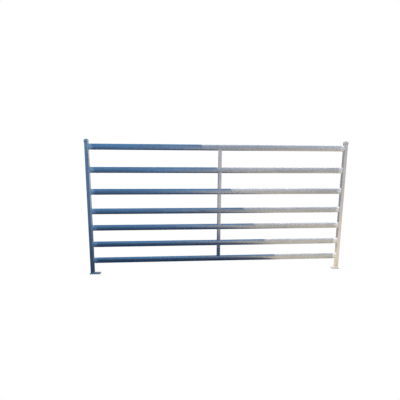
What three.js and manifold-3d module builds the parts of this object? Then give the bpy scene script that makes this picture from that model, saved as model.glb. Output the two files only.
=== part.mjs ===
import * as THREE from 'three';
import { mergeVertices } from 'three/addons/utils/BufferGeometryUtils.js';
import Module from 'manifold-3d';

// Livestock panel: level rails of flat-oval tube welded between two square end posts, with a
// middle stay between the rails, a domed cap on each post and a flat plate under each post.
// Millimetres. +X runs along the panel, -Y is the front, +Z is up.
// The origin is on the ground under the middle of the panel.

const PANEL_WIDTH = 2900; // over the outer faces of the end posts
const PANEL_HEIGHT = 1500; // from the ground to the crown of the caps
const CLEARANCE = 0.3; // between pieces that touch

const POST = { side: 40, corner: 5, wall: 2 };
const RAIL = { height: 64, depth: 32, wall: 1.6 };
const GROUND_GAP = 123; // from the ground to the lowest rail
const RAIL_GAPS = [122, 125, 122, 153, 174, 183]; // clear heights between rails, bottom to top
const STAY = { width: 40, depth: 25, corner: 4, wall: 1.6 };

const CAP = { side: 46, corner: 6, wall: 1.6, dome: 18, skirt: 18, seat: 2 };
const FOOT = { thickness: 6, depth: 60, corner: 3, outward: 9, inward: { left: 68, right: 38 } };

const VENT = { radius: 5, belowTopRail: 14, drainHeight: 40 };
const WELD_LEG = 3.6; // rail ends and post feet
const STAY_WELD_LEG = 3;

const OVAL_SEGMENTS = 5; // an arc gets two facets for each: ten to each round of a rail
const CORNER_SEGMENTS = 2; // and four to each corner of a square tube
const CAP_FACETS = 32;
const DOME_RINGS = 5;

const SIDES = { left: -1, right: 1 };
const POST_X = (PANEL_WIDTH - POST.side) / 2;
const POST_INNER_X = PANEL_WIDTH / 2 - POST.side;
const POST_BOTTOM = FOOT.thickness + CLEARANCE;
const CAP_BASE = PANEL_HEIGHT - CAP.dome;
const POST_TOP = CAP_BASE + CAP.seat;

const wasm = await Module();
wasm.setup();

// ---------------------------------------------------------------- materials

function steel(color, roughness, metalness) {
  return new THREE.MeshStandardMaterial({ color, roughness, metalness });
}

const galvanised = () => steel(0xa3a8ac, 0.42, 0.85);
const pressedSteel = () => steel(0x8f969d, 0.36, 0.85);
const flatBar = () => steel(0x979da2, 0.5, 0.8);
const weldMetal = () => steel(0xb9bcbd, 0.6, 0.7);

// ---------------------------------------------------------------- solids

function solidFrom(geometry) {
  const bare = geometry.clone();
  bare.deleteAttribute('normal');
  bare.deleteAttribute('uv');
  const merged = mergeVertices(bare);
  const vertProperties = new Float32Array(merged.attributes.position.array);
  const triVerts = new Uint32Array(merged.index.array);
  return new wasm.Manifold(new wasm.Mesh({ numProp: 3, vertProperties, triVerts }));
}

function geometryFrom(solid) {
  const mesh = solid.getMesh();
  const geometry = new THREE.BufferGeometry();
  geometry.setAttribute('position', new THREE.BufferAttribute(new Float32Array(mesh.vertProperties), 3));
  geometry.setIndex(new THREE.BufferAttribute(new Uint32Array(mesh.triVerts), 1));
  geometry.computeVertexNormals();
  return geometry;
}

// ---------------------------------------------------------------- outlines

// Two half circles joined by straight sides, longest along x.
function oval(height, depth) {
  const radius = depth / 2;
  const straight = (height - depth) / 2;
  const shape = new THREE.Shape();
  shape.absarc(straight, 0, radius, -Math.PI / 2, Math.PI / 2, false);
  shape.absarc(-straight, 0, radius, Math.PI / 2, (3 * Math.PI) / 2, false);
  shape.closePath();
  return shape;
}

function roundedRectangle(width, depth, corner) {
  const x = width / 2 - corner;
  const y = depth / 2 - corner;
  const shape = new THREE.Shape();
  shape.absarc(x, y, corner, 0, Math.PI / 2, false);
  shape.absarc(-x, y, corner, Math.PI / 2, Math.PI, false);
  shape.absarc(-x, -y, corner, Math.PI, (3 * Math.PI) / 2, false);
  shape.absarc(x, -y, corner, (3 * Math.PI) / 2, 2 * Math.PI, false);
  shape.closePath();
  return shape;
}

// The outer outlines of the three tubes, grown all round.
function railOutline(grow) {
  return oval(RAIL.height + 2 * grow, RAIL.depth + 2 * grow);
}

function postOutline(grow) {
  const side = POST.side + 2 * grow;
  return roundedRectangle(side, side, POST.corner + grow);
}

function stayOutline(grow) {
  return roundedRectangle(STAY.width + 2 * grow, STAY.depth + 2 * grow, STAY.corner + grow);
}

function prism(outline, length, curveSegments) {
  return new THREE.ExtrudeGeometry(outline, { depth: length, bevelEnabled: false, curveSegments });
}

function tube(outlineAt, wall, length, curveSegments) {
  const section = outlineAt(0);
  section.holes.push(outlineAt(-wall));
  return prism(section, length, curveSegments);
}

// A solid rail, grown all round, lying along x with its middle at the origin.
function railCutter(grow, length) {
  const cutter = prism(railOutline(grow), length, OVAL_SEGMENTS);
  cutter.translate(0, 0, -length / 2);
  cutter.rotateY(Math.PI / 2);
  return solidFrom(cutter);
}

// ---------------------------------------------------------------- pieces

// Square tube with a vent hole under the top rail and a drain hole above the foot plate,
// both in the wall that faces +x.
function postGeometry(ventHeight) {
  const length = POST_TOP - POST_BOTTOM;
  let post = solidFrom(tube(postOutline, POST.wall, length, CORNER_SEGMENTS));
  for (const height of [ventHeight, VENT.drainHeight]) {
    const drill = new THREE.CylinderGeometry(VENT.radius, VENT.radius, POST.side / 2, 16);
    drill.rotateZ(Math.PI / 2);
    drill.translate(POST.side / 2, 0, height - POST_BOTTOM);
    post = post.subtract(solidFrom(drill));
  }
  return geometryFrom(post);
}

function railGeometry() {
  const length = 2 * (POST_INNER_X - CLEARANCE);
  const rail = tube(railOutline, RAIL.wall, length, OVAL_SEGMENTS);
  rail.translate(0, 0, -length / 2);
  rail.rotateY(Math.PI / 2);
  return rail;
}

// One length of stay, its ends cut to sit on the rounds of two rails that are pitch apart.
// Its own origin is the middle of the lower rail.
function stayGeometry(pitch) {
  const blank = solidFrom(tube(stayOutline, STAY.wall, pitch, CORNER_SEGMENTS));
  const lower = railCutter(CLEARANCE, 2 * STAY.width);
  const upper = lower.translate([0, 0, pitch]);
  return geometryFrom(blank.subtract(lower).subtract(upper));
}

// A domed cap with a skirt: a turned profile, stretched from round to rounded square.
function capGeometry() {
  const outer = CAP.side / 2;
  const inner = outer - CAP.wall;
  const innerDome = CAP.dome - CAP.wall;
  const profile = [];
  for (let i = 0; i <= DOME_RINGS; i += 1) {
    const angle = (Math.PI / 2) * (1 - i / DOME_RINGS);
    profile.push(new THREE.Vector2(inner * Math.cos(angle), innerDome * Math.sin(angle)));
  }
  profile.push(new THREE.Vector2(inner, -CAP.skirt));
  profile.push(new THREE.Vector2(outer, -CAP.skirt));
  for (let i = 0; i <= DOME_RINGS; i += 1) {
    const angle = (Math.PI / 2) * (i / DOME_RINGS);
    profile.push(new THREE.Vector2(outer * Math.cos(angle), CAP.dome * Math.sin(angle)));
  }
  profile[0].x = 0;
  profile[profile.length - 1].x = 0;

  const cap = new THREE.LatheGeometry(profile, CAP_FACETS);
  cap.rotateX(Math.PI / 2);
  const position = cap.attributes.position;
  for (let i = 0; i < position.count; i += 1) {
    const stretch = squareStretch(Math.atan2(position.getY(i), position.getX(i)));
    position.setXY(i, position.getX(i) * stretch, position.getY(i) * stretch);
  }
  return geometryFrom(solidFrom(cap));
}

// How far the cap's rounded square reaches in a direction, over its half side.
function squareStretch(direction) {
  const half = CAP.side / 2;
  const middle = half - CAP.corner;
  const along = Math.max(Math.abs(Math.cos(direction)), Math.abs(Math.sin(direction)));
  const across = Math.min(Math.abs(Math.cos(direction)), Math.abs(Math.sin(direction)));
  if ((half / along) * across <= middle) return 1 / along;
  const toCentre = middle * (along + across);
  const reach = toCentre + Math.sqrt(toCentre ** 2 - 2 * middle ** 2 + CAP.corner ** 2);
  return reach / half;
}

function footGeometry(inward) {
  const length = FOOT.outward + POST.side + inward;
  return prism(roundedRectangle(length, FOOT.depth, FOOT.corner), FOOT.thickness, CORNER_SEGMENTS);
}

// A convex fillet round the end of a tube that stands on a flat face at z = 0.
function filletRing(outlineAt, curveSegments) {
  const overlap = 0.4; // keeps the fillet's toe inside the cut-out, so that no sliver is left
  const plug = new THREE.ExtrudeGeometry(outlineAt(CLEARANCE - overlap), {
    depth: CLEARANCE,
    bevelThickness: WELD_LEG,
    bevelSize: WELD_LEG + overlap,
    bevelSegments: 2,
    curveSegments,
  });
  const below = new THREE.BoxGeometry(4 * RAIL.height, 4 * RAIL.height, 4 * WELD_LEG);
  below.translate(0, 0, -2 * WELD_LEG);
  const bore = prism(outlineAt(CLEARANCE), 4 * WELD_LEG, curveSegments);
  bore.translate(0, 0, -WELD_LEG);
  return geometryFrom(solidFrom(plug).subtract(solidFrom(below)).subtract(solidFrom(bore)));
}

// A bead along the saddle where a stay stands on a rail. Its origin is the middle of the rail.
function saddleBead() {
  const length = 2 * STAY.width;
  const onRail = railCutter(CLEARANCE + STAY_WELD_LEG, length).subtract(railCutter(CLEARANCE, length));
  const outside = solidFrom(prism(stayOutline(CLEARANCE + STAY_WELD_LEG), RAIL.height, CORNER_SEGMENTS));
  const inside = solidFrom(prism(stayOutline(CLEARANCE), RAIL.height, CORNER_SEGMENTS));
  return geometryFrom(onRail.intersect(outside.subtract(inside)));
}

// ---------------------------------------------------------------- assembly

function addMesh(parent, name, geometry, material, [x, y, z] = [0, 0, 0]) {
  const mesh = new THREE.Mesh(geometry, material);
  mesh.name = name;
  mesh.position.set(x, y, z);
  parent.add(mesh);
  return mesh;
}

// Heights of the rails' middles, bottom to top.
function railHeights() {
  const heights = [GROUND_GAP + RAIL.height / 2];
  for (const gap of RAIL_GAPS) {
    heights.push(heights[heights.length - 1] + gap + RAIL.height);
  }
  return heights;
}

const panel = new THREE.Group();
const heights = railHeights();
const railCount = heights.length;
const topRailUnderside = heights[railCount - 1] - RAIL.height / 2;

const ends = new THREE.Group();
panel.add(ends);
const post = postGeometry(topRailUnderside - VENT.belowTopRail);
const cap = capGeometry();
const postFillet = filletRing(postOutline, CORNER_SEGMENTS);
for (const [side, sign] of Object.entries(SIDES)) {
  const end = new THREE.Group();
  end.position.x = sign * POST_X;
  ends.add(end);

  const upright = addMesh(end, `post_${side}`, post, galvanised(), [0, 0, POST_BOTTOM]);
  upright.rotation.z = side === 'left' ? 0 : Math.PI;
  addMesh(end, `cap_${side}`, cap, pressedSteel(), [0, 0, CAP_BASE]);
  const footShift = (sign * (FOOT.outward - FOOT.inward[side])) / 2;
  addMesh(end, `foot_${side}`, footGeometry(FOOT.inward[side]), flatBar(), [footShift, 0, 0]);
  addMesh(end, `weld_foot_${side}`, postFillet, weldMetal(), [0, 0, POST_BOTTOM]);
}

const rails = new THREE.Group();
panel.add(rails);
const rail = railGeometry();
const railFillet = filletRing(railOutline, OVAL_SEGMENTS);
heights.forEach((height, index) => {
  const number = railCount - index; // rails are numbered from the top
  addMesh(rails, `rail_${number}`, rail, galvanised(), [0, 0, height]);
  for (const [side, sign] of Object.entries(SIDES)) {
    const toe = [sign * (POST_INNER_X - CLEARANCE), 0, height];
    const bead = addMesh(rails, `weld_${side}_${number}`, railFillet, weldMetal(), toe);
    bead.rotation.y = (-sign * Math.PI) / 2;
  }
});

const stays = new THREE.Group();
panel.add(stays);
const bead = saddleBead();
for (let index = 0; index < railCount - 1; index += 1) {
  const number = railCount - 1 - index; // stay 1 is under rail 1
  const lower = heights[index];
  const upper = heights[index + 1];
  addMesh(stays, `stay_${number}`, stayGeometry(upper - lower), galvanised(), [0, 0, lower]);
  addMesh(stays, `weld_stay_${number}_bottom`, bead, weldMetal(), [0, 0, lower]);
  const topBead = addMesh(stays, `weld_stay_${number}_top`, bead, weldMetal(), [0, 0, upper]);
  topBead.rotation.x = Math.PI;
}

export default panel;
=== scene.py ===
"""The looks of a welded livestock panel: galvanised oval rails, square posts, welds, caps and feet."""

import math
import random

import bmesh
import bpy
from mathutils import Matrix, Vector, noise


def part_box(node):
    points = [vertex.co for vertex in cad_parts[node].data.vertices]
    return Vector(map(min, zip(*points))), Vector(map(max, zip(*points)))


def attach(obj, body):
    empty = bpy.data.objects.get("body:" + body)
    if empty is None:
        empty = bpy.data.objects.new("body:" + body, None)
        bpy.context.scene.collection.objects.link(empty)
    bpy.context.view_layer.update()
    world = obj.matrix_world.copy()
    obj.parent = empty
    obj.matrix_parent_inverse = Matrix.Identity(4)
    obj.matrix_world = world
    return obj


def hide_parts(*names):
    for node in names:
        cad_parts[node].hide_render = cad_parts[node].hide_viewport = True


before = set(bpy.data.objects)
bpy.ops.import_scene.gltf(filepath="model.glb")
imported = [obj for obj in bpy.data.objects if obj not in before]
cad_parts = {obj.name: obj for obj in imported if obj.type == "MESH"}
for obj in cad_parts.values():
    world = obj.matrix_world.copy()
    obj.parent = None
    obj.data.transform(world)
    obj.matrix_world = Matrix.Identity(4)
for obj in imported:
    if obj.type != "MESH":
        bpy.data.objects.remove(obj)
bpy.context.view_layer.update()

MM = 0.001
BODY = "root"
STAY_NUMBERS = range(1, 7)
SIDES = {"left": -1, "right": 1}
# Each rail's lowest and highest corner, from rail 1 at the top to rail 7.
RAIL_BOXES = {number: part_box(f"rail_{number}") for number in range(1, 8)}

# Sections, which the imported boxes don't give.
POST_CORNER = 5 * MM
POST_WALL = 2 * MM
RAIL_WALL = 1.6 * MM
RAIL_SIDE_RADIUS = 120 * MM  # the rolled sides are slightly crowned
STAY_CORNER = 4 * MM
STAY_WALL = 1.6 * MM
CAP_CORNER = 6 * MM
CAP_WALL = 1.6 * MM
CAP_SKIRT = 18 * MM
CAP_LIP = 0.5 * MM
FOOT_CORNER = 3 * MM
FOOT_EDGE = 0.8 * MM
VENT_BELOW_RAIL = 14 * MM
DRAIN_HEIGHT = 40 * MM
HOLE_RADIUS = 5 * MM
HOLE_REACH = 12 * MM  # through one wall of a post, and not the other

# How finely the pieces are divided.
STATION = 12 * MM  # spacing of the rings along a tube
FINE_STATION = 2 * MM  # and their spacing beside a drip, with FINE_COUNT to either side
FINE_COUNT = 6
CORNER_STEPS = 6
FOOT_CORNER_STEPS = 5
POST_FACE_STEPS = (4, 4)  # across the width and across the depth, as are the two below
STAY_FACE_STEPS = (4, 6)
FOOT_FACE_STEPS = (12, 6)
RAIL_SIDE_STEPS = 8
RAIL_END_STEPS = 18
STAY_LEVELS = 12
CAP_FACETS = 64
DOME_STEPS = 16
SKIRT_STEPS = 4
HOLE_SIDES = 32
# The least turn between two faces that stays a sharp edge.
SHARP_DEGREES = 40
CAP_SHARP_DEGREES = 55
FOOT_SHARP_DEGREES = 50

# Relief of the zinc.
RAIL_WAVE = 0.12 * MM
POST_WAVE = 0.1 * MM
CAP_DENT = 0.25 * MM
ROUGH_RAILS = (1, 2)  # the upper two rails have the most dross
HEAVY_DROSS = 1.3 * MM
LIGHT_DROSS = 0.4 * MM
DRIPS_EACH = 3  # at each end of a rail, and along its middle
DRIP_FROM_END = (14, 110)  # millimetres, as are the three ranges below
DRIP_WIDTH = (2.5, 4.0)
END_DRIP_HEIGHT = (1.0, 2.4)
MIDDLE_DRIP_HEIGHT = (0.6, 1.6)
MIDDLE_INSET = 200 * MM  # that the middle's drips keep from each end

BEAD_STEP = 0.6 * MM
BEAD_RIPPLE = 2.4 * MM
BEAD_SIDES = 10
BEAD_WANDER = 0.5 * MM
RAIL_BEAD = 2.6 * MM
FOOT_BEAD = 3.0 * MM
STAY_BEAD = 2.2 * MM

# How far the zinc paint reaches from the welds of each piece.
RAIL_PAINT = 90 * MM
POST_PAINT = 42 * MM
STAY_PAINT = 22 * MM
FOOT_PAINT = 50 * MM

CAMERA_PLACE = Vector((-0.482, -3.373, 1.377))
CAMERA_YAW = math.radians(4.476)
CAMERA_PITCH = math.radians(9.061)
CAMERA_ROLL = math.radians(0.432)
CAMERA_LENS = 27.48
CAMERA_SENSOR = 36


# ---------------------------------------------------------------- node helpers


def node(tree, kind, **settings):
    made = tree.nodes.new(kind)
    for name, value in settings.items():
        setattr(made, name, value)
    return made


def feed(tree, socket, value):
    """Links value into socket if it is a socket, and otherwise sets it."""
    if isinstance(value, bpy.types.NodeSocket):
        tree.links.new(value, socket)
    else:
        socket.default_value = value


def maths(tree, operation, first, second=0.0, third=0.0):
    made = node(tree, "ShaderNodeMath", operation=operation)
    for socket, value in zip(made.inputs, (first, second, third)):
        feed(tree, socket, value)
    return made.outputs[0]


def smooth_step(tree, value, low, high, to_low=0.0, to_high=1.0):
    """Goes smoothly from to_low to to_high while value goes from low to high."""
    made = node(tree, "ShaderNodeMapRange", interpolation_type="SMOOTHSTEP")
    entries = {"Value": value, "From Min": low, "From Max": high, "To Min": to_low, "To Max": to_high}
    for name, entry in entries.items():
        feed(tree, made.inputs[name], entry)
    return made.outputs["Result"]


def mix_colour(tree, factor, first, second, blend="MIX"):
    """Blends two colours, which a Mix node takes in its sockets 6 and 7 and gives out by its socket 2."""
    made = node(tree, "ShaderNodeMix", data_type="RGBA", blend_type=blend)
    feed(tree, made.inputs[0], factor)
    feed(tree, made.inputs[6], first)
    feed(tree, made.inputs[7], second)
    return made.outputs[2]


def ramp(tree, factor, stops):
    """A colour ramp with a colour at the place of each stop."""
    made = node(tree, "ShaderNodeValToRGB")
    elements = made.color_ramp.elements
    while len(elements) < len(stops):
        elements.new(0.5)
    for element, (place, colour) in zip(elements, stops):
        element.position = place
        element.color = (*colour, 1.0)
    feed(tree, made.inputs[0], factor)
    return made.outputs[0]


def stretched(tree, stretch):
    """Object coordinates with a scale of their own along each axis."""
    coordinates = node(tree, "ShaderNodeTexCoord")
    mapping = node(tree, "ShaderNodeMapping")
    mapping.inputs["Scale"].default_value = stretch
    tree.links.new(coordinates.outputs["Object"], mapping.inputs["Vector"])
    return mapping.outputs["Vector"]


def noise_value(tree, stretch, scale, detail=4.0, roughness=0.55):
    """Noise from 0 to 1, mostly near the middle, finer as the scale goes up."""
    made = node(tree, "ShaderNodeTexNoise")
    made.inputs["Scale"].default_value = scale
    made.inputs["Detail"].default_value = detail
    made.inputs["Roughness"].default_value = roughness
    tree.links.new(stretched(tree, stretch), made.inputs["Vector"])
    return made.outputs["Fac"]


def new_material(name):
    """A new material, with its node tree and its shader."""
    material = bpy.data.materials.new(name)
    material.use_nodes = True
    return material, material.node_tree, material.node_tree.nodes["Principled BSDF"]


# ---------------------------------------------------------------- materials

EVEN = (1.0, 1.0, 1.0)
GRAINS = {"x": (0.12, 1.0, 1.0), "z": (1.0, 1.0, 0.12), "none": EVEN}
BUMP_DEPTH = 0.4 * MM

# Colours by the value of the noise, before a piece's tint; the brighter, warmer tints of the posts, stay and
# caps are painted light.
ZINC_TONES = ((0.3, (0.47, 0.49, 0.52)), (0.5, (0.58, 0.59, 0.61)), (0.7, (0.69, 0.70, 0.71)))
PAINT_TONES = ((0.35, (0.82, 0.83, 0.84)), (0.6, (1.0, 1.0, 1.0)))
WELD_TONES = ((0.32, (0.26, 0.25, 0.24)), (0.45, (0.55, 0.55, 0.54)), (0.7, (0.78, 0.78, 0.77)))
SPECK_COLOUR = (0.8, 0.8, 0.79, 1.0)
STAIN_COLOUR = (0.24, 0.24, 0.25, 1.0)
SPECK_STRENGTH = 0.4
STAIN_STRENGTH = 0.55
PAINT_STRENGTH = 0.95
SPANGLE_SCALE = 85.0
DARK_ROUGHNESS = 0.34  # where the zinc's clouds are dark, before a piece's own polish
LIGHT_ROUGHNESS = 0.25
ZINC_BUMP = 0.12
WELD_BUMP = 0.5


def emboss(tree, shader, height, strength):
    bump = node(tree, "ShaderNodeBump")
    bump.inputs["Strength"].default_value = strength
    bump.inputs["Distance"].default_value = BUMP_DEPTH
    tree.links.new(height, bump.inputs["Height"])
    tree.links.new(bump.outputs["Normal"], shader.inputs["Normal"])


def zinc(name, grain, tint, polish=0.0, metal=0.95):
    """Galvanised steel: clouded zinc with a faint spangle, draw lines along the grain, pale specks,
    dark stains, and lighter zinc paint where the mesh's weld_zone attribute is high."""
    material, tree, shader = new_material(name)
    along = GRAINS[grain]

    clouds = noise_value(tree, along, scale=9.0, detail=5.0)
    tones = [(place, [part * share for part, share in zip(tone, tint)]) for place, tone in ZINC_TONES]
    colour = ramp(tree, clouds, tones)

    spangle = node(tree, "ShaderNodeTexVoronoi")
    spangle.inputs["Scale"].default_value = SPANGLE_SCALE
    tree.links.new(stretched(tree, EVEN), spangle.inputs["Vector"])
    crystal = node(tree, "ShaderNodeSeparateColor")
    tree.links.new(spangle.outputs["Color"], crystal.inputs[0])
    crystal_tone, crystal_gloss, _ = crystal.outputs
    facet = smooth_step(tree, crystal_tone, 0.0, 1.0, to_low=0.9, to_high=1.08)
    colour = mix_colour(tree, 1.0, colour, facet, "MULTIPLY")

    dots = noise_value(tree, EVEN, scale=130.0, detail=3.0, roughness=0.7)
    patches = noise_value(tree, EVEN, scale=7.0, detail=3.0)
    specks = maths(
        tree, "MULTIPLY",
        smooth_step(tree, dots, 0.62, 0.7), smooth_step(tree, patches, 0.5, 0.68),
    )
    colour = mix_colour(tree, maths(tree, "MULTIPLY", specks, SPECK_STRENGTH), colour, SPECK_COLOUR)

    streaks = noise_value(tree, along, scale=22.0, detail=6.0, roughness=0.65)
    stains = smooth_step(tree, streaks, 0.60, 0.74)
    colour = mix_colour(tree, maths(tree, "MULTIPLY", stains, STAIN_STRENGTH), colour, STAIN_COLOUR)

    # The paint ends where the weld zone and a noise of either sign add up to too little.
    zone = node(tree, "ShaderNodeAttribute", attribute_name="weld_zone").outputs["Fac"]
    ragged = noise_value(tree, EVEN, scale=45.0, detail=5.0, roughness=0.6)
    cover = maths(tree, "ADD", zone, maths(tree, "MULTIPLY_ADD", ragged, 0.9, -0.45))
    paint = smooth_step(tree, cover, 0.42, 0.62)
    paint_tone = ramp(tree, ragged, PAINT_TONES)
    colour = mix_colour(tree, maths(tree, "MULTIPLY", paint, PAINT_STRENGTH), colour, paint_tone)
    tree.links.new(colour, shader.inputs["Base Color"])

    shader.inputs["Metallic"].default_value = metal
    rough = smooth_step(tree, clouds, 0.3, 0.7, DARK_ROUGHNESS - polish, LIGHT_ROUGHNESS - polish)
    for source, amount in ((crystal_gloss, 0.08), (paint, 0.18), (stains, 0.15)):
        rough = maths(tree, "MULTIPLY_ADD", source, amount, rough)
    tree.links.new(rough, shader.inputs["Roughness"])

    draw_lines = noise_value(tree, [8 * share for share in along], scale=70.0, detail=3.0)
    brush_marks = maths(tree, "MULTIPLY", ragged, 2.5)
    height = noise_value(tree, EVEN, scale=190.0, detail=3.0)
    for source, amount in ((draw_lines, 0.35), (paint, brush_marks), (specks, 0.2)):
        height = maths(tree, "MULTIPLY_ADD", source, amount, height)
    emboss(tree, shader, height, ZINC_BUMP)
    return material


def weld_metal():
    """Weld beads under zinc paint: matt, and mottled from brown soot to pale paint."""
    material, tree, shader = new_material("weld_bead")
    mottle = noise_value(tree, EVEN, scale=160.0, detail=5.0, roughness=0.65)
    metal = smooth_step(tree, mottle, 0.3, 0.6, to_low=0.88, to_high=0.94)
    rough = smooth_step(tree, mottle, 0.3, 0.7, to_low=0.62, to_high=0.42)
    tree.links.new(ramp(tree, mottle, WELD_TONES), shader.inputs["Base Color"])
    tree.links.new(metal, shader.inputs["Metallic"])
    tree.links.new(rough, shader.inputs["Roughness"])
    emboss(tree, shader, noise_value(tree, EVEN, scale=420.0), WELD_BUMP)
    return material


MATERIALS = {
    "rail": zinc("zinc_rail", "x", (1.0, 1.0, 1.0), polish=0.02),
    # The posts', stay's and caps' tints are brighter and warmer than the rails': painted light, standing in
    # for the bright, warm light these pieces catch.
    "post": zinc("zinc_post", "z", (1.42, 1.33, 1.26), metal=0.985),
    "stay": zinc("zinc_stay", "z", (1.45, 1.36, 1.28), polish=0.09),
    "cap": zinc("zinc_cap", "none", (1.34, 1.24, 1.15), polish=-0.1, metal=0.975),
    "foot": zinc("zinc_foot", "none", (0.92, 0.92, 0.93), polish=-0.08),
    "weld": weld_metal(),
}


# ---------------------------------------------------------------- mesh helpers


def outline(width, depth, corner, face_steps, corner_steps=CORNER_STEPS):
    """Points of a rounded rectangle with their outward normals, as (u, v, nu, nv), anticlockwise."""
    half_u = width / 2 - corner
    half_v = depth / 2 - corner
    points = []
    for quarter, (su, sv) in enumerate(((1, 1), (-1, 1), (-1, -1), (1, -1))):
        for step in range(corner_steps + 1):
            angle = (quarter + step / corner_steps) * math.pi / 2
            nu, nv = math.cos(angle), math.sin(angle)
            points.append((su * half_u + corner * nu, sv * half_v + corner * nv, nu, nv))
        face = (2 * half_u, 2 * half_v)[quarter % 2]
        steps = face_steps[quarter % 2]
        u, v, nu, nv = points[-1]
        for step in range(1, steps):
            reach = face * step / steps
            points.append((u - nv * reach, v + nu * reach, nu, nv))
    return points


def rail_end_radius(half_width, half_height):
    """Radius of the arcs at a rail's top and bottom, which run smoothly into its crowned sides."""
    side = RAIL_SIDE_RADIUS
    return (half_width ** 2 + half_height ** 2 - 2 * side * half_width) / (2 * (half_height - side))


def rail_outline(width, height):
    """An oval of four arcs, as (u, v, nu, nv): crowned sides that run smoothly into the end rounds."""
    half_u, half_v = width / 2, height / 2
    side, end = RAIL_SIDE_RADIUS, rail_end_radius(half_u, half_v)
    turn = math.atan2(half_v - end, side - half_u)
    arcs = (
        (half_u - side, 0, side, -turn, turn, RAIL_SIDE_STEPS),
        (0, half_v - end, end, turn, math.pi - turn, RAIL_END_STEPS),
        (side - half_u, 0, side, math.pi - turn, math.pi + turn, RAIL_SIDE_STEPS),
        (0, end - half_v, end, math.pi + turn, 2 * math.pi - turn, RAIL_END_STEPS),
    )
    points = []
    for centre_u, centre_v, radius, start, stop, count in arcs:
        for step in range(count):
            angle = start + (stop - start) * step / count
            nu, nv = math.cos(angle), math.sin(angle)
            points.append((centre_u + radius * nu, centre_v + radius * nv, nu, nv))
    return points


def skin(rings, closed):
    """Faces between rings of equally many points: a loop of rings, or a row whose ends are filled."""
    count = len(rings[0])
    vertices = [point for ring in rings for point in ring]
    faces = []
    last = len(rings) if closed else len(rings) - 1
    for row in range(last):
        here, there = row * count, (row + 1) % len(rings) * count
        for i in range(count):
            j = (i + 1) % count
            faces.append((here + i, here + j, there + j, there + i))
    if not closed:
        faces.append(tuple(range(count - 1, -1, -1)))
        faces.append(tuple(range(last * count, last * count + count)))
    return vertices, faces


def add_object(name, data):
    made = bpy.data.objects.new(name, data)
    bpy.context.scene.collection.objects.link(made)
    return made


def shade(mesh, sharp_degrees):
    """Smooth shading, with an edge kept wherever the faces turn by more than sharp_degrees."""
    mesh.shade_smooth()
    mesh.set_sharp_from_angle(angle=math.radians(sharp_degrees))


def add_piece(name, shape, material, nodes, sharp_degrees=SHARP_DEGREES):
    """A smooth-shaded piece in the frame that stands for the named CAD nodes."""
    vertices, faces = shape
    mesh = bpy.data.meshes.new(name)
    mesh.from_pydata(vertices, [], faces)
    work = bmesh.new()
    work.from_mesh(mesh)
    bmesh.ops.recalc_face_normals(work, faces=work.faces)
    work.to_mesh(mesh)
    work.free()
    shade(mesh, sharp_degrees)
    piece = add_object(name, mesh)
    mesh.materials.append(MATERIALS[material])
    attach(piece, BODY)
    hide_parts(*nodes)
    return piece


def mark_weld_zones(piece, welds):
    """Gives each vertex 1 at a weld, falling to 0 at the reach of its paint; welds are (place, reach)."""
    zone = piece.data.attributes.new("weld_zone", "FLOAT", "POINT")
    for vertex, entry in zip(piece.data.vertices, zone.data):
        shares = [1.0 - (vertex.co - Vector(place)).length / reach for place, reach in welds]
        entry.value = max(0.0, *shares)


def stations(low, high, spots=()):
    """Places along a tube, to the micrometre, closer together round each spot."""
    count = round((high - low) / STATION)
    places = {round(low + (high - low) * i / count, 6) for i in range(count + 1)}
    for spot in spots:
        for step in range(-FINE_COUNT, FINE_COUNT + 1):
            place = spot + FINE_STATION * step
            if low < place < high:
                places.add(round(place, 6))
    return sorted(places)


# ---------------------------------------------------------------- rails


def rail_drips(number, low, high):
    """Frozen drops of zinc under a rail: (place, height, half width)."""
    chance = random.Random(100 + number)
    drips = []
    for end, inward in ((low, 1), (high, -1)):
        for _ in range(DRIPS_EACH):
            place = end + inward * chance.uniform(*DRIP_FROM_END) * MM
            drips.append((place, chance.uniform(*END_DRIP_HEIGHT) * MM, chance.uniform(*DRIP_WIDTH) * MM))
    for _ in range(DRIPS_EACH):
        place = chance.uniform(low + MIDDLE_INSET, high - MIDDLE_INSET)
        drips.append((place, chance.uniform(*MIDDLE_DRIP_HEIGHT) * MM, chance.uniform(*DRIP_WIDTH) * MM))
    return drips


def rail_relief(number, x, normal_z, drips):
    """How far the zinc stands off the tube: a slight wave, dross on top and drips below. The rail's
    number moves the place in the noise, so no two rails are alike."""
    relief = RAIL_WAVE * noise.noise(Vector((x * 6, number * 5.1, normal_z * 1.5)))
    dross = HEAVY_DROSS if number in ROUGH_RAILS else LIGHT_DROSS
    lump = max(0.0, noise.noise(Vector((x * 38, number * 7.7, 0.3))) - 0.05)
    relief += dross * lump * max(0.0, normal_z) ** 3
    for place, height, width in drips:
        if abs(x - place) < 3 * width:
            relief += height * math.exp(-((x - place) / width) ** 2) * max(0.0, -normal_z) ** 6
    return relief


def build_rail(number):
    low, high = RAIL_BOXES[number]
    middle_z = (low.z + high.z) / 2
    depth, height = high.y - low.y, high.z - low.z
    drips = rail_drips(number, low.x, high.x)
    outer = rail_outline(depth, height)
    inner = rail_outline(depth - 2 * RAIL_WALL, height - 2 * RAIL_WALL)
    rings = []
    for x in stations(low.x, high.x, [place for place, _, _ in drips]):
        ring = []
        for y, z, ny, nz in outer:
            off = rail_relief(number, x, nz, drips)
            ring.append((x, y + off * ny, middle_z + z + off * nz))
        rings.append(ring)
    for x in (high.x, low.x):
        rings.append([(x, y, middle_z + z) for y, z, _, _ in inner])
    name = f"rail_{number}"
    rail = add_piece(f"{name}_tube", skin(rings, True), "rail", [name])
    ends = [((x, 0, middle_z), RAIL_PAINT) for x in (low.x, high.x)]
    stays = [((0, 0, z), STAY_PAINT) for z in (low.z, high.z)]
    mark_weld_zones(rail, ends + stays)


# ---------------------------------------------------------------- posts, caps and feet


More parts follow.
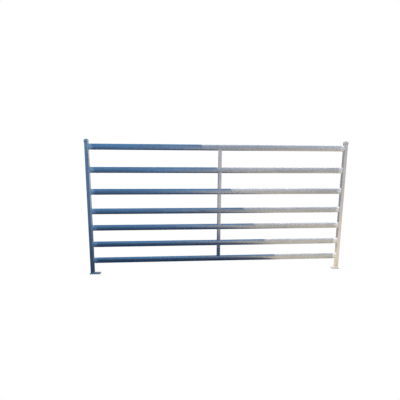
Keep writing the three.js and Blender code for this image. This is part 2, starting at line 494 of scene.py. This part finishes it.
def cut_holes(piece, centres, direction, radius, reach):
    """Drills a round hole at each centre along the direction, half the reach to either side."""
    for centre in centres:
        drill_mesh = bpy.data.meshes.new("drill")
        work = bmesh.new()
        bmesh.ops.create_cone(
            work, cap_ends=True, segments=HOLE_SIDES, radius1=radius, radius2=radius, depth=reach,
            matrix=Matrix.Translation(centre) @ direction.to_track_quat("Z", "Y").to_matrix().to_4x4(),
        )
        work.to_mesh(drill_mesh)
        work.free()
        drill = add_object("drill", drill_mesh)
        cut = piece.modifiers.new("hole", "BOOLEAN")
        cut.operation = "DIFFERENCE"
        cut.solver = "EXACT"
        cut.object = drill
        bpy.context.view_layer.update()
        drilled = piece.evaluated_get(bpy.context.evaluated_depsgraph_get())
        drilled_mesh = bpy.data.meshes.new_from_object(drilled)
        piece.modifiers.clear()
        piece.data = drilled_mesh
        bpy.data.objects.remove(drill)
    shade(piece.data, SHARP_DEGREES)


def build_post(side, sign):
    name = f"post_{side}"
    low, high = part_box(name)
    middle_x = (low.x + high.x) / 2
    width = high.x - low.x
    bore = width - 2 * POST_WALL
    outer = outline(width, width, POST_CORNER, POST_FACE_STEPS)
    inner = outline(bore, bore, POST_CORNER - POST_WALL, POST_FACE_STEPS)
    rings = []
    for z in stations(low.z, high.z):
        ring = []
        for x, y, nx, ny in outer:
            off = POST_WAVE * noise.noise(Vector((z * 7 + sign * 3, nx * 1.5, ny * 1.5)))
            ring.append((middle_x + x + off * nx, y + off * ny, z))
        rings.append(ring)
    for z in (high.z, low.z):
        rings.append([(middle_x + x, y, z) for x, y, _, _ in inner])
    post = add_piece(f"{name}_tube", skin(rings, True), "post", [name])

    inner_face = middle_x - sign * width / 2
    vent_height = RAIL_BOXES[1][0].z - VENT_BELOW_RAIL
    centres = [Vector((inner_face, 0, height)) for height in (vent_height, DRAIN_HEIGHT)]
    cut_holes(post, centres, Vector((1, 0, 0)), HOLE_RADIUS, HOLE_REACH)
    rail_heights = [(rail_low.z + rail_high.z) / 2 for rail_low, rail_high in RAIL_BOXES.values()]
    welds = [((inner_face, 0, height), POST_PAINT) for height in rail_heights]
    mark_weld_zones(post, welds + [((middle_x, 0, low.z), FOOT_PAINT)])


def square_stretch(direction, half, corner):
    """How far a rounded square reaches in a direction, over its half side."""
    middle = half - corner
    along = max(abs(math.cos(direction)), abs(math.sin(direction)))
    across = min(abs(math.cos(direction)), abs(math.sin(direction)))
    if half / along * across <= middle:
        return 1 / along
    to_centre = middle * (along + across)
    return (to_centre + math.sqrt(to_centre ** 2 - 2 * middle ** 2 + corner ** 2)) / half


def cap_profile(half, bottom, top):
    """The cap's section as (radius, height): down its outside, round the rim and up its inside."""
    base = bottom + CAP_SKIRT
    dome = top - base
    bore = half - CAP_WALL
    shift = 0.02  # radians; it keeps the first ring off the pole
    profile = []
    for step in range(DOME_STEPS):
        angle = math.pi / 2 * (1 - step / DOME_STEPS) - shift
        profile.append((half * math.cos(angle), base + dome * math.sin(angle)))
    profile += [(half, base - CAP_SKIRT * step / SKIRT_STEPS) for step in range(SKIRT_STEPS)]
    profile += [(half, bottom + CAP_LIP), (half - CAP_LIP, bottom)]
    profile += [(bore + CAP_LIP, bottom), (bore, bottom + CAP_LIP), (bore, base)]
    for step in range(1, DOME_STEPS + 1):
        angle = math.pi / 2 * step / (DOME_STEPS + 1) + shift
        profile.append((bore * math.cos(angle), base + (dome - CAP_WALL) * math.sin(angle)))
    return profile


def build_cap(side):
    name = f"cap_{side}"
    low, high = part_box(name)
    middle_x = (low.x + high.x) / 2
    half = (high.x - low.x) / 2
    rings = []
    for radius, z in cap_profile(half, low.z, high.z):
        ring = []
        for facet in range(CAP_FACETS):
            direction = 2 * math.pi * facet / CAP_FACETS
            reach = radius * square_stretch(direction, half, CAP_CORNER)
            dent = CAP_DENT * noise.noise(Vector((math.cos(direction) * 2, math.sin(direction) * 2, z * 90)))
            reach -= max(0.0, dent) * radius / half
            ring.append((middle_x + reach * math.cos(direction), reach * math.sin(direction), z))
        rings.append(ring)
    add_piece(f"{name}_dome", skin(rings, False), "cap", [name], CAP_SHARP_DEGREES)


def build_foot(side):
    name = f"foot_{side}"
    low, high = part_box(name)
    middle_x = (low.x + high.x) / 2
    width, depth = high.x - low.x, high.y - low.y
    levels = (
        (low.z, FOOT_EDGE), (low.z + FOOT_EDGE, 0),
        (high.z - FOOT_EDGE, 0), (high.z, FOOT_EDGE),
    )
    rings = []
    for z, inset in levels:
        size = (width - 2 * inset, depth - 2 * inset)
        edge = outline(*size, FOOT_CORNER - inset, FOOT_FACE_STEPS, FOOT_CORNER_STEPS)
        rings.append([(middle_x + x, y, z) for x, y, _, _ in edge])
    foot = add_piece(f"{name}_plate", skin(rings, False), "foot", [name], FOOT_SHARP_DEGREES)
    post_low, post_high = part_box(f"post_{side}")
    mark_weld_zones(foot, [(((post_low.x + post_high.x) / 2, 0, high.z), FOOT_PAINT)])


# ---------------------------------------------------------------- stays


def saddle_height(rail, y, upwards):
    """Height of a rail's rounded surface at y: its top if upwards, otherwise its underside."""
    low, high = rail
    half_height = (high.z - low.z) / 2
    radius = rail_end_radius((high.y - low.y) / 2, half_height)
    lift = half_height - radius + math.sqrt(max(0.0, radius ** 2 - y ** 2))
    return (low.z + high.z) / 2 + (lift if upwards else -lift)


def build_stay(number):
    name = f"stay_{number}"
    low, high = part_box(name)
    upper, lower = RAIL_BOXES[number], RAIL_BOXES[number + 1]
    width, depth = high.x - low.x, high.y - low.y
    outer = outline(width, depth, STAY_CORNER, STAY_FACE_STEPS)
    bore_width, bore_depth = width - 2 * STAY_WALL, depth - 2 * STAY_WALL
    inner = outline(bore_width, bore_depth, STAY_CORNER - STAY_WALL, STAY_FACE_STEPS)
    rings = []
    for level in range(STAY_LEVELS + 1):
        share = level / STAY_LEVELS
        ring = []
        for x, y, _, _ in outer:
            z = (1 - share) * saddle_height(lower, y, True) + share * saddle_height(upper, y, False)
            ring.append((x, y, z))
        rings.append(ring)
    for rail, upwards in ((upper, False), (lower, True)):
        rings.append([(x, y, saddle_height(rail, y, upwards)) for x, y, _, _ in inner])
    stay = add_piece(f"{name}_tube", skin(rings, True), "stay", [name])
    mark_weld_zones(stay, [((0, 0, z), STAY_PAINT) for z in (lower[1].z, upper[0].z)])


# ---------------------------------------------------------------- welds


def bead(path, outwards, seed, radius):
    """A closed weld bead along a path: a round section with the ripples of the weld pool.
    Each outwards vector is roughly square to the path there."""
    count = len(path)
    rings = []
    travelled = 0.0
    for i, point in enumerate(path):
        before, after = path[i - 1], path[(i + 1) % count]
        tangent = (after - before).normalized()
        out = (outwards[i] - tangent * outwards[i].dot(tangent)).normalized()
        side = tangent.cross(out)
        travelled += (point - before).length if i else 0.0
        wave = abs(math.sin(math.pi * travelled / BEAD_RIPPLE))
        swell = noise.noise(Vector((travelled * 90, seed * 3.7, 0.5)))
        size = radius * (0.9 + 0.16 * wave + 0.22 * swell)
        shift = BEAD_WANDER * noise.noise(Vector((travelled * 60, seed * 1.3, 9.5)))
        centre = point + side * shift
        rings.append([
            tuple(centre + (out * math.cos(turn) + side * math.sin(turn)) * size)
            for turn in (2 * math.pi * k / BEAD_SIDES for k in range(BEAD_SIDES))
        ])
    return skin(rings, True)


def resample(points):
    """Points BEAD_STEP apart round a closed line of (position, outward) pairs, with their outwards."""
    loop = points + points[:1]
    lengths = [0.0]
    for (a, _), (b, _) in zip(loop, loop[1:]):
        lengths.append(lengths[-1] + (b - a).length)
    count = round(lengths[-1] / BEAD_STEP)
    places, outs = [], []
    segment = 0
    for i in range(count):
        target = lengths[-1] * i / count
        while lengths[segment + 1] < target:
            segment += 1
        share = (target - lengths[segment]) / (lengths[segment + 1] - lengths[segment])
        places.append(loop[segment][0].lerp(loop[segment + 1][0], share))
        outs.append(loop[segment][1].lerp(loop[segment + 1][1], share))
    return places, outs


def add_weld(name, line, seed, radius):
    """A bead along a closed line of (position, outward) pairs."""
    path, outwards = resample(line)
    add_piece(f"{name}_bead", bead(path, outwards, seed, radius), "weld", [name])


def build_rail_weld(side, sign, number, seed):
    low, high = RAIL_BOXES[number]
    middle_z = (low.z + high.z) / 2
    inset = 0.6 * MM  # from the rail's end
    off = 0.4 * MM  # from the rail's surface
    face = (high.x if sign > 0 else low.x) - sign * inset
    line = []
    for y, z, ny, nz in rail_outline(high.y - low.y, high.z - low.z):
        line.append((Vector((face, y + off * ny, middle_z + z + off * nz)), Vector((0, ny, nz))))
    add_weld(f"weld_{side}_{number}", line, seed, RAIL_BEAD)


def build_foot_weld(side, seed):
    low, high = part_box(f"post_{side}")
    middle_x = (low.x + high.x) / 2
    height = low.z + 0.8 * MM  # a little above the plate
    line = []
    for x, y, nx, ny in outline(high.x - low.x, high.y - low.y, POST_CORNER, POST_FACE_STEPS):
        line.append((Vector((middle_x + x, y, height)), Vector((nx, ny, 0))))
    add_weld(f"weld_foot_{side}", line, seed, FOOT_BEAD)


def build_stay_weld(number, end, seed):
    low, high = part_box(f"stay_{number}")
    rail = RAIL_BOXES[number if end == "top" else number + 1]
    upwards = end == "bottom"
    off = 0.6 * MM  # from the stay's face
    lift = 0.7 * MM  # from the rail's surface
    toe = 1.0 * MM  # how far from the stay that surface is looked up
    line = []
    for x, y, nx, ny in outline(high.x - low.x, high.y - low.y, STAY_CORNER, STAY_FACE_STEPS):
        z = saddle_height(rail, y + ny * toe, upwards) + (lift if upwards else -lift)
        line.append((Vector((x + nx * off, y + ny * off, z)), Vector((nx, ny, 0))))
    add_weld(f"weld_stay_{number}_{end}", line, seed, STAY_BEAD)


# ---------------------------------------------------------------- the object

# The last number that each weld takes is its own place in the noise that shapes the beads.
for number in RAIL_BOXES:
    build_rail(number)
for number in STAY_NUMBERS:
    build_stay(number)
    build_stay_weld(number, "top", 200 + number)
    build_stay_weld(number, "bottom", 300 + number)
for side, sign in SIDES.items():
    build_post(side, sign)
    build_cap(side)
    build_foot(side)
    build_foot_weld(side, 50 + sign)
    for number in RAIL_BOXES:
        build_rail_weld(side, sign, number, 100 * sign + number)


# ---------------------------------------------------------------- floor, light and camera

STAGE_HALF = 60.0
CARD_HEIGHT = -0.01
BLACK = (0.0, 0.0, 0.0, 1.0)
WHITE = (1.0, 1.0, 1.0, 1.0)


def add_plane(name, material, height):
    """A level square that reaches far past the view."""
    half = STAGE_HALF
    corners = [(-half, -half, height), (half, -half, height), (half, half, height), (-half, half, height)]
    mesh = bpy.data.meshes.new(name)
    mesh.from_pydata(corners, [], [(0, 1, 2, 3)])
    mesh.materials.append(material)
    return add_object(name, mesh)


def glowing_material(name):
    """A new material that only glows, with its node tree and its shader."""
    material, tree, shader = new_material(name)
    shader.inputs["Base Color"].default_value = BLACK
    shader.inputs["Specular IOR Level"].default_value = 0.0
    shader.inputs["Emission Strength"].default_value = 1.0
    return material, tree, shader


def build_floor():
    """A pale floor that is seen but doesn't light the panel."""
    material, _, shader = glowing_material("pale_floor")
    shader.inputs["Emission Color"].default_value = WHITE
    floor = add_plane("floor", material, 0.0)
    floor.visible_diffuse = False
    floor.visible_glossy = False
    floor.visible_shadow = False


# The surround at each height of the direction, from the horizon at 0 to straight up at 1.
SKY = (0.12, 0.35, 0.68)
FRONT_LEFT = (
    (0.0, (0.09, 0.26, 0.52)), (0.12, (0.11, 0.33, 0.66)),
    (0.3, (0.10, 0.29, 0.57)), (1.0, SKY),
)
FRONT_RIGHT = (
    (0.0, (0.62, 0.60, 0.59)), (0.12, (0.53, 0.53, 0.57)),
    (0.4, (0.26, 0.38, 0.60)), (1.0, SKY),
)
BEHIND_LEFT = (0.38, 0.33, 0.30, 1.0)
BEHIND_RIGHT = (0.85, 0.86, 0.84, 1.0)
# Where the left turns into the right, as the sideways part of the direction.
FRONT_TURN = (0.03, 0.14)
BEHIND_TURN = (-0.35, 0.2)


def build_world():
    """White behind the panel. What lights it is a soft surround: blue sky, with something bright on
    the right of the horizon in front and behind, and dim on the left."""
    world = bpy.data.worlds.new("studio")
    bpy.context.scene.world = world
    world.use_nodes = True
    tree = world.node_tree
    direction = node(tree, "ShaderNodeSeparateXYZ")
    tree.links.new(node(tree, "ShaderNodeTexCoord").outputs["Generated"], direction.inputs[0])
    across, along, up = direction.outputs
    left, right = (ramp(tree, up, stops) for stops in (FRONT_LEFT, FRONT_RIGHT))
    surround = mix_colour(tree, smooth_step(tree, across, *FRONT_TURN), left, right)
    behind = mix_colour(tree, smooth_step(tree, across, *BEHIND_TURN), BEHIND_LEFT, BEHIND_RIGHT)
    backwards = smooth_step(tree, along, 0.0, 0.4)
    low = smooth_step(tree, up, 0.2, 0.6, to_low=1.0, to_high=0.0)
    surround = mix_colour(tree, maths(tree, "MULTIPLY", backwards, low), surround, behind)
    camera_ray = node(tree, "ShaderNodeLightPath").outputs["Is Camera Ray"]
    seen = mix_colour(tree, camera_ray, surround, WHITE)
    tree.links.new(seen, tree.nodes["Background"].inputs["Color"])


GROUND_NEAR_SHADE = (0.006, 0.03, 0.09, 1.0)
GROUND_FAR_SHADE = (0.11, 0.29, 0.57, 1.0)
GROUND_SIDE_SHADE = (0.05, 0.10, 0.19, 1.0)
GROUND_NEAR_LIT = (0.76, 0.69, 0.56, 1.0)
GROUND_FAR_LIT = (0.56, 0.53, 0.50, 1.0)
# Where near turns into far, in metres from the panel, and where the left side begins.
SHADE_TURN = (0.0, 6.0)
LIT_TURN = (0.5, 5.0)
SIDE_TURN = (-1.5, -2.8)
# Two lines across the ground as (slope, offset), x = slope * y + offset. It is lit to the right of both.
LIT_EDGES = ((0.25, 0.76), (-0.12, -0.91))
# Half the edge's own width, as it is soft: a share of the distance from the panel, and a least width.
LIT_EDGE_SOFTNESS = (0.05, 0.03)


def build_bounce():
    """A card under the floor that the camera doesn't see: bluish shade on the left, bright on the
    right. It lights the panel from below, and its slanting edge shows in the rails' sides."""
    material, tree, shader = glowing_material("bounce")
    place = node(tree, "ShaderNodeSeparateXYZ")
    tree.links.new(node(tree, "ShaderNodeTexCoord").outputs["Object"], place.inputs[0])
    across, along, _ = place.outputs
    edges = [maths(tree, "MULTIPLY_ADD", along, *edge) for edge in LIT_EDGES]
    past_edge = maths(tree, "SUBTRACT", across, maths(tree, "MAXIMUM", *edges))
    distance = maths(tree, "ABSOLUTE", along)
    softness = maths(tree, "MULTIPLY_ADD", distance, *LIT_EDGE_SOFTNESS)
    lit = smooth_step(tree, maths(tree, "DIVIDE", past_edge, softness), -1.0, 1.0)
    dark = mix_colour(tree, smooth_step(tree, distance, *SHADE_TURN), GROUND_NEAR_SHADE, GROUND_FAR_SHADE)
    dark = mix_colour(tree, smooth_step(tree, across, *SIDE_TURN), dark, GROUND_SIDE_SHADE)
    bright = mix_colour(tree, smooth_step(tree, distance, *LIT_TURN), GROUND_NEAR_LIT, GROUND_FAR_LIT)
    tree.links.new(mix_colour(tree, lit, dark, bright), shader.inputs["Emission Color"])
    material.cycles.emission_sampling = "NONE"
    card = add_plane("bounce_card", material, CARD_HEIGHT)
    card.visible_camera = False
    card.visible_shadow = False


# The key light reaches the panel to the right of this slanting line.
KEY_EDGE = (Vector((-0.207, 0, 1.445)), Vector((0.682, 0, 0.159)))
KEY_FROM = Vector((-0.583, -0.10, 0.83)).normalized()
KEY_DISTANCE = 1.2
KEY_WIDTH = 2.4
KEY_LENGTH = 4.0
KEY_SPREAD = math.radians(1)
KEY_ENERGY = 700.0
KEY_COLOUR = (1.0, 0.82, 0.57)


def build_key():
    """An area light of narrow spread from above, whose left edge falls along KEY_EDGE. It adds only
    diffuse light to the zinc, and it casts no shadow."""
    across = (KEY_EDGE[0] - KEY_EDGE[1]).cross(KEY_FROM).normalized()
    light = bpy.data.lights.new("key", "AREA")
    light.shape = "RECTANGLE"
    light.size = KEY_WIDTH
    light.size_y = KEY_LENGTH
    light.spread = KEY_SPREAD
    light.energy = KEY_ENERGY
    light.color = KEY_COLOUR
    light.use_shadow = False
    key = add_object("key", light)
    centre = (KEY_EDGE[0] + KEY_EDGE[1]) / 2 + across * KEY_WIDTH / 2 + KEY_FROM * KEY_DISTANCE
    axes = Matrix((across, KEY_FROM.cross(across), KEY_FROM)).transposed()
    key.matrix_world = Matrix.Translation(centre) @ axes.to_4x4()
    key.visible_camera = False
    key.visible_glossy = False


def build_camera():
    camera = add_object("camera", bpy.data.cameras.new("camera"))
    camera.data.lens = CAMERA_LENS
    camera.data.sensor_width = CAMERA_SENSOR
    turn = Matrix.Rotation(-CAMERA_YAW, 4, "Z") @ Matrix.Rotation(math.pi / 2 - CAMERA_PITCH, 4, "X")
    camera.matrix_world = Matrix.Translation(CAMERA_PLACE) @ turn @ Matrix.Rotation(CAMERA_ROLL, 4, "Z")
    bpy.context.scene.camera = camera


build_floor()
build_world()
build_bounce()
build_key()
build_camera()
bpy.context.scene.view_settings.view_transform = "Standard"
